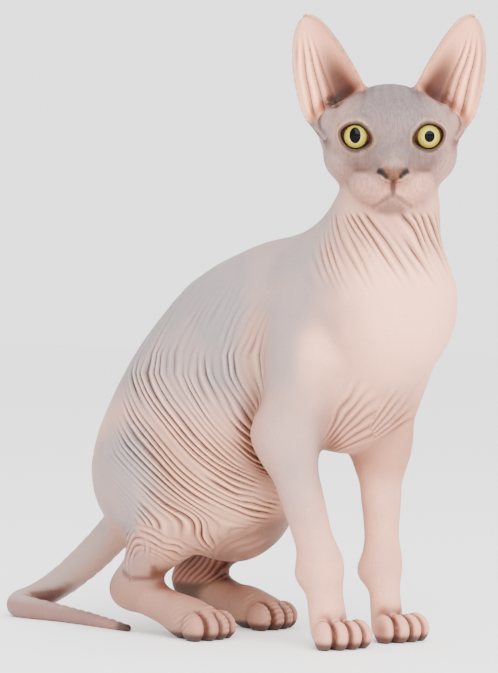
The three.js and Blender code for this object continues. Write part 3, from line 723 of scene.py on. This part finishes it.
dark_tuft *= ahead
red_spots *= ahead
lips, nostril, nose, rims = face_marks(Q)
lid_edge = np.zeros(count)
for side in (1, -1):
    e, reach = eye_reach(Q, side)
    near_ball = step(np.linalg.norm(e, axis=1), 16, 14.5) * step(e[:, 0], 0, 2)
    lid_edge = np.maximum(lid_edge, step(reach, 0.9, -0.1) * near_ball)
# Painted shade: darker where the skin lies in a hollow, by how far the body closes in over each corner a
# short way out along its way out.
cavity_shade = np.zeros(count)
for reach, share in ((5.0, 0.45), (13.0, 0.55)):
    cavity_shade += share * np.clip(1 - in_parts(body, P + N * reach, 12) / reach, 0, 1.2)
flank_turns, flank_depth = flank_folds(P)
crease_turns, crease_depth = other_folds(P, N)
flank_depth *= 1 - 0.9 * step(crease_depth, 0.12, 0.4)

# Painted shade: the far hind leg, shank and foot, darkened as it lies away from the lamp.
far_shank = step(near_bone(P, HIND[1]["knee"], HIND[1]["heel"]), 30, 18)
far_shank = far_shank * step(Z, 92, 60) * step(Y, 4, 14)
far_foot = step(near_bone(P, HIND[1]["heel"], (*HIND[1]["ball"], 8)), 32, 18) * step(Z, 58, 36)
far_legs_shade = np.maximum(far_shank, 0.62 * far_foot)
near_shank = step(near_bone(P, HIND[-1]["knee"], HIND[-1]["heel"]), 34, 18)
near_shank = near_shank * step(Z, 98, 60) * step(Y, -8, -18)
near_foot = step(near_bone(P, HIND[-1]["heel"], (*HIND[-1]["ball"], 8)), 34, 18) * step(Z, 62, 38)
hind_skin = np.maximum(near_shank, 0.9 * near_foot)
# The back of the near hind leg, facing the tail: darker skin there, with painted shade where it turns
# from the light.
shank_back_tone_and_shade = np.maximum(near_shank, near_foot) * step(N[:, 0], -0.25, -0.9)
tail_skin = step(X, -156, -178)
tail_end = step(X, -175, -235) * step(Z, 15, 9) * step(Y, -3, -9)
tail_end = np.maximum(tail_end, step(Z, 12, 8) * step(Y, -6, -12) * step(X, -120, -130))
# Painted shade in the gaps between the toes; the toes' ends are pink skin.
toe_gap_shade = np.zeros(count)
toe_ends = np.zeros(count)
for leg, foot, width, reach in ((FORE, "paw", 36, 9), (HIND, "ball", 36, 7.5)):
    for side in (-1, 1):
        ds = np.sort(np.stack(toe_set(P, leg[side][foot], leg[side]["yaw"], width, reach)), axis=0)
        toe_gap_shade = np.maximum(toe_gap_shade, step(ds[1] - ds[0], 2.8, 0.9) * step(ds[0], 3.2, 1.4))
        toe_ends = np.maximum(toe_ends, step(ds[0], 1.6, 0.2))
# Painted shade in the crease at the near hock.
to_hock = to_line(X, Z, ((-123, 42), (-117, 38), (-105, 38), (-99.5, 46)))
hock = step(to_hock, 2.6, 0.5) * step(Y, -30, -38)
wrists = np.zeros(count)
for side in (-1, 1):
    x, y, z = FORE[side]["wrist"]
    wrists = np.maximum(wrists, step(np.linalg.norm(P - (x - 15, y, z + 2), axis=1), 6.5, 4))
# Painted shade along the bottom few millimetres of the paws, where they meet the floor.
soles = step(Z, 7.0, 3.4) * step(X, -150, -140)

# The chest's own pale skin, brighter still with a painted highlight where it faces forward towards the
# lamp.
chest = step(N[:, 0], 0.0, 0.5) * step(X, 8, 34) * step(Z, 262, 236)
pale_lit_chest = chest * step(Z, 150, 190)
low_chest = step(Z, 168, 138) * step(Z, 92, 116) * step(X, -2, 12) * step(Y, -44, -26)
belly = bare_belly(X, Z) * step(X, -92, -78) * step(Z, 38, 46) * step(X, -8, -20)
grey = 1.1 * step(Z, 112, 178) * step(X, 62, 16) * (1 - chest)
grey = np.maximum(grey, step(np.hypot((X + 128) / 50, (Z - 96) / 56), 1.2, 0.6))
upper_arm = near_bone(P, (10, -33, 215), (-4, -36, 110))
forearm = near_bone(P, (-4, -36, 110), (19, -29, 50))
grey = np.maximum(grey, 0.8 * step(upper_arm, 52, 20) * (1 - 0.7 * chest))
grey = np.maximum(grey, 0.45 * step(forearm, 30, 14) * step(Z, 50, 100))
grey = np.maximum(grey, 0.6 * on_head * step(Q[:, 2], 8, 26) * (1 - on_ear))
grey = grey * (1 - 0.9 * ear_inside)
warm_tone_and_shade = step(Z, 158, 112) * step(X, -128, -92) * step(X, 8, -10) * step(Z, 40, 60)
warm_tone_and_shade = np.maximum(warm_tone_and_shade, 0.75 * step(np.hypot((X + 18) / 20, (Z - 168) / 60), 1.2, 0.5) * step(X, 6, -14))
# Painted shade under the body, where the skin faces down near the floor.
warm_tone_and_shade = np.maximum(warm_tone_and_shade, 0.8 * step(N[:, 2], -0.2, -0.75) * step(Z, 14, 40) * step(X, 60, 30))
warm_tone_and_shade = np.maximum(warm_tone_and_shade, 0.55 * crease_depth * step(Z, 285, 270))
# Painted shade: the far hind leg takes the warm brown too.
warm_tone_and_shade = np.maximum(warm_tone_and_shade, far_legs_shade)
warm_tone_and_shade = np.clip(warm_tone_and_shade - 0.8 * step(np.hypot((X + 124) / 34, (Z - 92) / 36), 1.1, 0.5), 0, 1)
pink = np.maximum(0.9 * ear_depth_pink_and_shade, 0.6 * step(np.abs(crease_depth), 0.1, 0.6) * step(Z, 200, 120))
pink = np.maximum(pink, 0.35 * toe_ends)
pink = np.maximum(pink, 0.35 * on_head * step(Q[:, 0], 20, 34) * step(Q[:, 2], -10, -24))
face_grey = on_head * (1 - 0.8 * ear_inside) * step(Q[:, 2], -24, 2) * step(np.abs(Q[:, 1]), 38, 14)
cheek = on_head * (1 - ear_inside) * step(Q[:, 2], -30, -6)
# Painted shade on the side of the muzzle turned away from the lamp.
muzzle_shaded_side = on_head * step(Q[:, 1], 6, -14) * step(Q[:, 2], -6, -18)
below_lips = step(np.abs(Q[:, 1]) - 0.9 * (-29 - Q[:, 2]), 2.5, -1.5)
chin = on_head * below_lips * step(Q[:, 2], -29, -32) * step(Q[:, 0], 16, 24)
marks = {
    "face_grey": face_grey, "cheek": cheek, "chin": chin, "cheek_fold": cheek_fold(Q),
    "nostril": nostril, "muzzle_shaded_side": muzzle_shaded_side, "pale_lit_chest": pale_lit_chest,
    "hind_skin": hind_skin, "tail_end": tail_end, "low_chest": low_chest, "belly": belly,
    "tail_skin": tail_skin, "shank_back_tone_and_shade": shank_back_tone_and_shade, "dark_tuft": dark_tuft, "red_spots": red_spots,
    "flank_turns": flank_turns, "flank_depth": flank_depth, "crease_turns": crease_turns,
    "crease_depth": crease_depth, "grey": grey, "warm_tone_and_shade": warm_tone_and_shade, "pink": pink, "lids": rims,
    "nose": nose, "nose_side": nose * step(np.abs(Q[:, 1]), 3.6, 7.5), "lips": lips,
    "creases": np.maximum(np.maximum(toe_gap_shade, 0.8 * hock), 0.8 * wrists), "ear_depth_pink_and_shade": ear_depth_pink_and_shade,
    "soles": soles, "far_side_shade": far_legs_shade, "ear_inside": ear_inside, "ear_rim": ear_rim,
    "on_head": on_head, "cavity_shade": cavity_shade, "lid_edge": lid_edge,
}
for name, values in marks.items():
    skin.data.attributes.new(name, "FLOAT", "POINT").data.foreach_set("value", np.float32(values))


class Wire:
    """One socket of a material's nodes. Arithmetic on it adds Math nodes."""

    def __init__(self, finish, socket):
        self.finish = finish
        self.socket = socket

    def math(self, operation, a, b):
        return self.finish.node("ShaderNodeMath", {"operation": operation}, {0: a, 1: b})

    def __add__(self, other):
        return self.math("ADD", self, other)

    def __sub__(self, other):
        return self.math("SUBTRACT", self, other)

    def __rsub__(self, other):
        return self.math("SUBTRACT", other, self)

    def __mul__(self, other):
        return self.math("MULTIPLY", self, other)

    def __pow__(self, other):
        return self.math("POWER", self, other)

    __radd__ = __add__
    __rmul__ = __mul__


class Finish:
    """A material in the making. node() adds any node, settings first, then values or links."""

    def __init__(self, name):
        self.material = bpy.data.materials.new(name)
        self.material.use_nodes = True
        self.tree = self.material.node_tree
        self.shader = self.tree.nodes["Principled BSDF"]

    def put(self, socket, value):
        if isinstance(value, Wire):
            self.tree.links.new(value.socket, socket)
        else:
            socket.default_value = value

    def node(self, kind, settings, values, out=0):
        node = self.tree.nodes.new(kind)
        for key, value in settings.items():
            setattr(node, key, value)
        for key, value in values.items():
            self.put(node.inputs[key], value)
        return Wire(self, node.outputs[out])

    def mark(self, name):
        """A mark that the mesh carries at its corners."""
        return self.node("ShaderNodeAttribute", {"attribute_name": name}, {}, "Fac")

    def grain(self, scale, detail=3, stretch=(1, 1, 1), rough=0.55):
        """Noise from 0 to 1 on the object's own coordinates, scale to the metre."""
        place = self.node("ShaderNodeTexCoord", {}, {}, "Object")
        place = self.node("ShaderNodeMapping", {}, {"Vector": place, "Scale": stretch})
        noise = {"Vector": place, "Scale": scale, "Detail": detail, "Roughness": rough}
        return self.node("ShaderNodeTexNoise", {}, noise)

    def rise(self, value, low, high):
        """0 to 1, smooth, as the value goes from low to high."""
        return self.node("ShaderNodeMapRange", {"interpolation_type": "SMOOTHSTEP"},
                         {"Value": value, "From Min": low, "From Max": high})

    def tint(self, factor, a, b, how="MIX"):
        """Colour a turning to colour b as the factor goes from 0 to 1."""
        kind = {"data_type": "RGBA", "blend_type": how}
        return self.node("ShaderNodeMix", kind, {0: factor, 6: a, 7: b}, 2)

    def give(self, **values):
        for name, value in values.items():
            self.put(self.shader.inputs[name.replace("_", " ")], value)


# The colours below are plain linear ones, for a studio as bright as the one at the end of this script.
PALE = (0.68, 0.325, 0.225, 1)
PALE_PINK = (0.56, 0.27, 0.19, 1)
LILAC_GREY = (0.235, 0.19, 0.19, 1)
WARM_TAN = (0.40, 0.20, 0.13, 1)
IN_SHADE = (0.028, 0.013, 0.009, 1)
ROSE = (0.40, 0.17, 0.12, 1)
# Painted shade for the valleys of the flank folds.
VALLEY_SHADE_BROWN = (0.10, 0.04, 0.026, 1)


def bare_skin():
    """The skin's colours, painted shade and painted highlights laid one over another by their marks,
    then its fine bumps.
    """
    m = Finish("bare_skin")
    soft = m.rise(m.grain(45, 4), 0.3, 0.7)
    patch = m.rise(m.grain(16, 3), 0.35, 0.65)
    colour = m.tint(soft, PALE_PINK, PALE)
    # Painted highlight on the chest over its own pale skin.
    colour = m.tint(m.mark("pale_lit_chest") * 0.8, colour, (0.92, 0.45, 0.30, 1))
    colour = m.tint(m.mark("low_chest") * 0.65, colour, (0.34, 0.135, 0.075, 1))
    colour = m.tint(m.mark("hind_skin") * 0.88, colour, (0.19, 0.09, 0.065, 1))
    colour = m.tint(m.mark("tail_skin") * 0.9, colour, (0.25, 0.185, 0.17, 1))
    colour = m.tint(m.mark("tail_end") * 0.85, colour, (0.19, 0.088, 0.075, 1))
    # Painted shade on one side of the muzzle.
    colour = m.tint(m.mark("muzzle_shaded_side") * 0.45, colour, (0.22, 0.12, 0.085, 1))
    colour = m.tint(m.mark("cheek") * 0.62, colour, (0.20, 0.13, 0.118, 1))
    colour = m.tint(m.mark("grey") * (0.75 + 0.25 * patch), colour, LILAC_GREY)
    colour = m.tint(m.mark("face_grey") * (0.7 + 0.25 * patch), colour, (0.10, 0.079, 0.085, 1))
    # Painted shade along the soft fold under each eye.
    colour = m.tint(m.mark("cheek_fold") * 0.35, colour, (0.11, 0.08, 0.085, 1))
    # Warm brown of the skin low on the flank, with painted shade under the body and on the far hind leg.
    colour = m.tint(m.mark("warm_tone_and_shade") * (0.6 + 0.4 * patch), colour, WARM_TAN)
    colour = m.tint(m.mark("belly") * 0.8, colour, (0.09, 0.04, 0.026, 1))
    # Painted shade over the far hind leg.
    colour = m.tint(m.mark("far_side_shade") * 0.9, colour, IN_SHADE)
    colour = m.tint(m.mark("pink") * 0.7, colour, ROSE)
    colour = m.tint(m.mark("chin") * 0.75, colour, (0.17, 0.09, 0.075, 1))
    colour = m.tint(m.mark("ear_inside") * 0.85, colour, (0.80, 0.35, 0.21, 1))
    # Painted shade in the deep of the ears' cups.
    colour = m.tint(m.mark("ear_depth_pink_and_shade") ** 0.7 * 0.95, colour, (0.05, 0.014, 0.01, 1))
    colour = m.tint(m.mark("ear_rim") * 0.5, colour, (0.34, 0.2, 0.15, 1))

    def fold(name):
        """How near the valley of its fold a point is, from 0 on the ridge to 1, and the set's depth."""
        turns = m.mark(name + "_turns")
        turns = m.node("ShaderNodeMath", {"operation": "FRACT"}, {0: turns})
        off = m.node("ShaderNodeMath", {"operation": "ABSOLUTE"}, {0: turns * 2 - 1})
        return off, m.mark(name + "_depth")

    flank, flank_deep = fold("flank")
    crease, crease_deep = fold("crease")
    # Painted shade in the folds' valleys and painted highlights on their ridges, laid over the colour.
    valley = (m.rise(flank, 0.35, 1.0) * 0.55 + m.rise(flank, 0.78, 0.98) * 0.6) * flank_deep
    valley2 = (m.rise(crease, 0.35, 1.0) * 0.55 + m.rise(crease, 0.78, 0.98) * 0.6) * crease_deep
    crest_highlight = m.rise(flank, 0.55, 0.0) * flank_deep + m.rise(crease, 0.55, 0.0) * crease_deep
    colour = m.tint(crest_highlight * 0.7, colour, (1.75, 1.65, 1.55, 1), "MULTIPLY")
    valley_shade = m.tint(m.mark("warm_tone_and_shade"), (0.085, 0.055, 0.05, 1), VALLEY_SHADE_BROWN)
    # Painted shade along the flank folds' valleys, then along the other folds' valleys.
    colour = m.tint(valley * 0.95, colour, valley_shade)
    colour = m.tint(valley2 * 0.9, colour, (0.12, 0.045, 0.03, 1))
    # Painted shade in the hollows, multiplied over the colour.
    in_cavity_shade = m.rise(m.mark("cavity_shade"), 0.08, 0.62)
    colour = m.tint(in_cavity_shade * 0.85, colour, (0.28, 0.15, 0.11, 1), "MULTIPLY")
    # Darker skin and painted shade along the back of the near hind leg.
    colour = m.tint(m.mark("shank_back_tone_and_shade") * 0.7, colour, (0.07, 0.036, 0.028, 1))
    colour = m.tint(m.mark("lids") * 0.55, colour, (0.40, 0.25, 0.12, 1))
    colour = m.tint(m.mark("lid_edge") * 0.92, colour, (0.03, 0.013, 0.008, 1))
    nose = m.tint(m.rise(m.grain(260, 2), 0.3, 0.6), (0.15, 0.05, 0.018, 1), (0.10, 0.034, 0.016, 1))
    nose = m.tint(m.mark("nose_side"), nose, (0.012, 0.008, 0.006, 1))
    colour = m.tint(m.mark("nose"), colour, nose)
    # Painted shade where the paws meet the floor.
    colour = m.tint(m.mark("soles") * 0.9, colour, (0.02, 0.008, 0.006, 1))
    # Painted shade between the toes and in the hock's crease, and the dark pads at the backs of the
    # wrists.
    colour = m.tint(m.mark("creases") * 0.9, colour, (0.06, 0.016, 0.01, 1))
    # Painted shade along the lips' line and in the groove up to the nose.
    colour = m.tint(m.mark("lips") * 0.8, colour, (0.05, 0.026, 0.02, 1))
    # Painted shade in the nostrils' openings.
    colour = m.tint(m.mark("nostril") * 0.92, colour, (0.005, 0.003, 0.002, 1))
    speck = m.rise(m.grain(300, 3), 0.38, 0.55)
    colour = m.tint(m.mark("dark_tuft") * (0.45 + 0.55 * speck), colour, (0.02, 0.008, 0.004, 1))
    colour = m.tint(m.mark("red_spots") * (0.3 + 0.55 * speck), colour, (0.07, 0.012, 0.01, 1))
    pores = m.rise(m.grain(900, 2), 0.3, 0.75)
    streaks = m.rise(m.grain(700, 3, (1, 1, 0.14), 0.7), 0.35, 0.7)
    fine_dark = 0.5 * streaks * m.mark("on_head") + 0.16 * pores
    colour = m.tint(fine_dark, colour, (0.45, 0.4, 0.4, 1), "MULTIPLY")
    down = m.grain(500, 3, (1, 1, 0.16), 0.7)
    wrinkle = m.grain(210, 4, (1, 1, 0.45), 0.6)
    height = (1 - valley) * 1.0 + (1 - valley2) * 0.6 + wrinkle * 0.55 + down * 0.2 + pores * 0.1
    bump = m.node("ShaderNodeBump", {}, {"Strength": 0.6, "Distance": 0.0009, "Height": height})
    m.give(Base_Color=colour, Roughness=0.48 + 0.2 * soft, Normal=bump, Specular_IOR_Level=0.25,
           Subsurface_Weight=0.1, Subsurface_Radius=(1.0, 0.35, 0.2), Subsurface_Scale=0.003)
    return m.material


skin.data.materials.append(bare_skin())
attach(skin, "root")
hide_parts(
    "head", "neck", "torso", "foreleg_right", "foreleg_left", "forepaw_right", "forepaw_left",
    "hindleg_right", "hindleg_left", "hindfoot_right", "hindfoot_left", "tail_base", "tail_bend",
    "tail_end", "ear_left", "ear_right",
)

# Eyes. Wet balls behind the lids with a clear bulge over a yellow-green iris and an upright pupil. Each
# is turned out of a profile round the way it looks, and its rings are marks on its corners.
IRIS_RADIUS = 6.8
PUPIL = {-1: (3.6, 5.0, 1.0), 1: (3.3, 3.7, 0.4)}


def eyeball(side):
    """Rings of corners from the front pole to the back one, the clear bulge a second, tighter ball."""
    centre, axes = eye_axes(side)
    rings, around = 72, 96
    away = np.radians(np.linspace(0, 180, rings + 1) ** 1.15 / 180**0.15)[1:-1]
    angle = np.linspace(0, 2 * np.pi, around, endpoint=False)
    bulge = 0.55 * step(np.degrees(away), 44, 10)
    radius = EYE_RADIUS - 0.15 + bulge
    x = (radius * np.cos(away))[:, None] * np.ones(around)
    y = (radius * np.sin(away))[:, None] * np.cos(angle)
    z = (radius * np.sin(away))[:, None] * np.sin(angle)
    ring = np.stack([x, y, z], -1).reshape(-1, 3)
    ends = np.array([[EYE_RADIUS + 0.4, 0, 0], [-EYE_RADIUS + 0.15, 0, 0]])
    own = np.vstack([ring, ends])
    i = np.arange(rings - 2)[:, None] * around
    j = np.arange(around)
    k = (j + 1) % around
    quads = np.stack([i + j, i + around + j, i + around + k, i + k], -1).reshape(-1, 4)
    last = (rings - 2) * around
    caps = [(len(ring), a, b) for a, b in zip(j, k)]
    caps += [(len(ring) + 1, last + b, last + a) for a, b in zip(j, k)]
    faces = quads.tolist() + [tuple(int(c) for c in cap) for cap in caps]
    place = to_frame((own @ axes.T + centre) @ HEAD_TURN.T + HEAD_CENTRE)
    mesh = bpy.data.meshes.new("eye")
    mesh.from_pydata(place.tolist(), [], faces)
    mesh.polygons.foreach_set("use_smooth", np.ones(len(mesh.polygons), bool))
    across, tall, lift = PUPIL[side]
    pupil = np.hypot(own[:, 1] / across, (own[:, 2] - lift) / tall)
    eye_marks = {"look": own[:, 0], "across": own[:, 1] * side, "up": own[:, 2], "pupil": pupil}
    for name, values in eye_marks.items():
        mesh.attributes.new(name, "FLOAT", "POINT").data.foreach_set("value", np.float32(values))
    return mesh


def wet_eye():
    """The iris by its distance from the middle, streaked outward, and the pupil over it."""
    m = Finish("wet_eye")
    y, z, x = m.mark("across"), m.mark("up"), m.mark("look")
    out = (y * y + z * z) ** 0.5
    angle = m.node("ShaderNodeMath", {"operation": "ARCTAN2"}, {0: z, 1: y})
    rays = m.node("ShaderNodeCombineXYZ", {}, {0: angle * 4.0, 1: out * 0.25, 2: 0.0})
    noise = {"Vector": rays, "Scale": 3.2, "Detail": 4.0, "Roughness": 0.7}
    rays = m.node("ShaderNodeTexNoise", {}, noise)
    iris = m.tint(m.rise(out, 2.8, 6.4), (0.55, 0.46, 0.08, 1), (0.26, 0.22, 0.018, 1))
    iris = m.tint(m.rise(rays, 0.4, 0.62) * 0.5, iris, (0.16, 0.12, 0.012, 1))
    ring = m.rise(out + rays * 0.7, IRIS_RADIUS - 0.2, IRIS_RADIUS + 0.9)
    colour = m.tint(ring, iris, (0.022, 0.009, 0.005, 1))
    white = m.rise(out, IRIS_RADIUS + 1.4, IRIS_RADIUS + 2.8)
    colour = m.tint(white * 0.5, colour, (0.08, 0.028, 0.018, 1))
    colour = m.tint(m.rise(y - 0.3 * z, -6.4, -8.4) * 0.8, colour, (0.10, 0.034, 0.018, 1))
    front = m.rise(x, 0.0, 2.0)
    colour = m.tint(m.rise(m.mark("pupil"), 1.06, 0.94) * front, colour, (0.001, 0.001, 0.001, 1))
    m.give(Base_Color=colour, Roughness=0.3 + 0.1 * rays, Specular_IOR_Level=0.0,
           Coat_Weight=0.12, Coat_Roughness=0.02)
    return m.material


eye_finish = wet_eye()
for side, node in ((1, "eye_left"), (-1, "eye_right")):
    eye = bpy.data.objects.new("ball_of_" + node, eyeball(side))
    bpy.context.scene.collection.objects.link(eye)
    eye.data.materials.append(eye_finish)
    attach(eye, "root")
    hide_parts(node)

# Camera. Nearly level, 2 m off, at the height of the neck, 38 degrees round from the cat's right side
# towards its front.
CAMERA_AZIMUTH = 38.0
CAMERA_LIFT = 1.2
CAMERA_DISTANCE = 2.0
CAMERA_TARGET = (0.0, -0.079, 0.198)
FOCAL_PIXELS = 3200.0
PHOTO_HEIGHT = 673.0
camera_data = bpy.data.cameras.new("camera")
camera_data.sensor_width = 36.0
camera_data.lens = FOCAL_PIXELS / PHOTO_HEIGHT * camera_data.sensor_width
camera_data.clip_end = 50
camera = bpy.data.objects.new("camera", camera_data)
bpy.context.scene.collection.objects.link(camera)
bpy.context.scene.camera = camera
a, e = math.radians(CAMERA_AZIMUTH), math.radians(CAMERA_LIFT)
toward = np.array([math.sin(a) * math.cos(e), -math.cos(a) * math.cos(e), math.sin(e)])
camera.location = np.array(CAMERA_TARGET) + SHIFT + CAMERA_DISTANCE * toward
camera.rotation_euler = (math.pi / 2 - e, 0, a)

# Studio. A plain pale floor, soft light from a large lamp above the camera and a little to its right,
# and a pale room.
FLOOR_REACH = 6
floor_corners = np.array([(-1, -1, 0), (1, -1, 0), (1, 1, 0), (-1, 1, 0)], float) * FLOOR_REACH
floor = new_piece("floor", floor_corners, np.array([(0, 1, 2, 3)]))
floor_finish = Finish("floor")
floor_finish.give(Base_Color=(0.93, 0.93, 0.93, 1), Roughness=0.7)
floor.data.materials.append(floor_finish.material)

LAMP_PLACE = np.array([2.0, -1.5, 1.6])
LAMP_AIM = np.array([0, 0, 0.2])
LAMP_SIZE = 2.4
LAMP_POWER = 215
lamp_data = bpy.data.lights.new("key", "AREA")
lamp_data.size = LAMP_SIZE
lamp_data.energy = LAMP_POWER
lamp = bpy.data.objects.new("key", lamp_data)
bpy.context.scene.collection.objects.link(lamp)
lamp.location = LAMP_PLACE
way = LAMP_AIM - LAMP_PLACE
tilt = math.atan2(math.hypot(way[0], way[1]), -way[2])
lamp.rotation_euler = (tilt, 0, math.atan2(way[1], way[0]) - math.pi / 2)

ROOM_LIGHT = 2.4
world = bpy.data.worlds.new("room")
world.use_nodes = True
world.node_tree.nodes["Background"].inputs["Color"].default_value = (1, 1, 1, 1)
world.node_tree.nodes["Background"].inputs["Strength"].default_value = ROOM_LIGHT
bpy.context.scene.world = world
